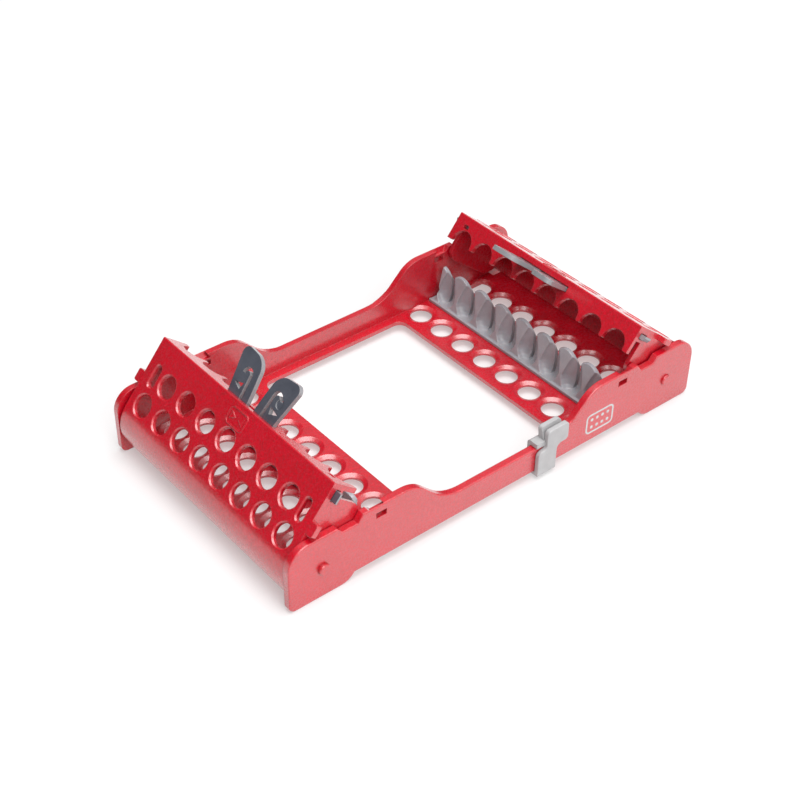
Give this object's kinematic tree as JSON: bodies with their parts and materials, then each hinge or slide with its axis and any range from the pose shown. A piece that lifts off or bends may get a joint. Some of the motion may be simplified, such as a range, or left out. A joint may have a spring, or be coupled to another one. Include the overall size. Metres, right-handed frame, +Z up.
{
  "type": "instrument sterilising cassette",
  "caption": "Open plastic instrument cassette with perforated trays, silicone cradles, hinged comb lids on sprung latches and a sliding clip.",
  "frame": {"origin": "centre of the bounding box at the height of the feet", "axes": "+X along the cassette from its near end to its far end, +Y to the left of that, +Z up"},
  "size_m": [0.2032, 0.1174, 0.0582],
  "materials": {
    "red_plastic": "satin",
    "slate_plastic": "matte",
    "grey_silicone": "matte",
    "pale_plastic": "satin"
  },
  "bodies": {
    "frame": {"base_frame": "red_plastic", "insert_near": "grey_silicone", "insert_far": "grey_silicone"},
    "near_lid": {"lid_near": "red_plastic"},
    "far_lid": {"lid_far": "red_plastic"},
    "near_left_latch": {"latch_near_left": "slate_plastic"},
    "near_right_latch": {"latch_near_right": "slate_plastic"},
    "far_left_latch": {"latch_far_left": "slate_plastic"},
    "far_right_latch": {"latch_far_right": "slate_plastic"},
    "clip": {"rail_clip": "pale_plastic"}
  },
  "joints": [
    {"name": "near_lid_hinge", "type": "hinge", "parent": "frame", "child": "near_lid", "pos_m": [-0.0866, 0.00055, 0.0134], "axis": [0, -1, 0], "range_deg": [-50, 7]},
    {"name": "far_lid_hinge", "type": "hinge", "parent": "frame", "child": "far_lid", "pos_m": [0.0866, 0.00055, 0.0134], "axis": [0, 1, 0], "range_deg": [-39, 18]},
    {"name": "near_left_latch_slide", "type": "slide", "parent": "near_lid", "child": "near_left_latch", "axis": [0, -1, 0], "range_m": [0, 0.00225], "stiffness_N_per_m": 600},
    {"name": "near_right_latch_slide", "type": "slide", "parent": "near_lid", "child": "near_right_latch", "axis": [0, 1, 0], "range_m": [0, 0.00225], "stiffness_N_per_m": 600},
    {"name": "far_left_latch_slide", "type": "slide", "parent": "far_lid", "child": "far_left_latch", "axis": [0, -1, 0], "range_m": [0, 0.00225], "stiffness_N_per_m": 600},
    {"name": "far_right_latch_slide", "type": "slide", "parent": "far_lid", "child": "far_right_latch", "axis": [0, 1, 0], "range_m": [0, 0.00225], "stiffness_N_per_m": 600},
    {"name": "clip_slide", "type": "slide", "parent": "frame", "child": "clip", "axis": [1, 0, 0], "range_m": [-0.0392, 0]}
  ]
}
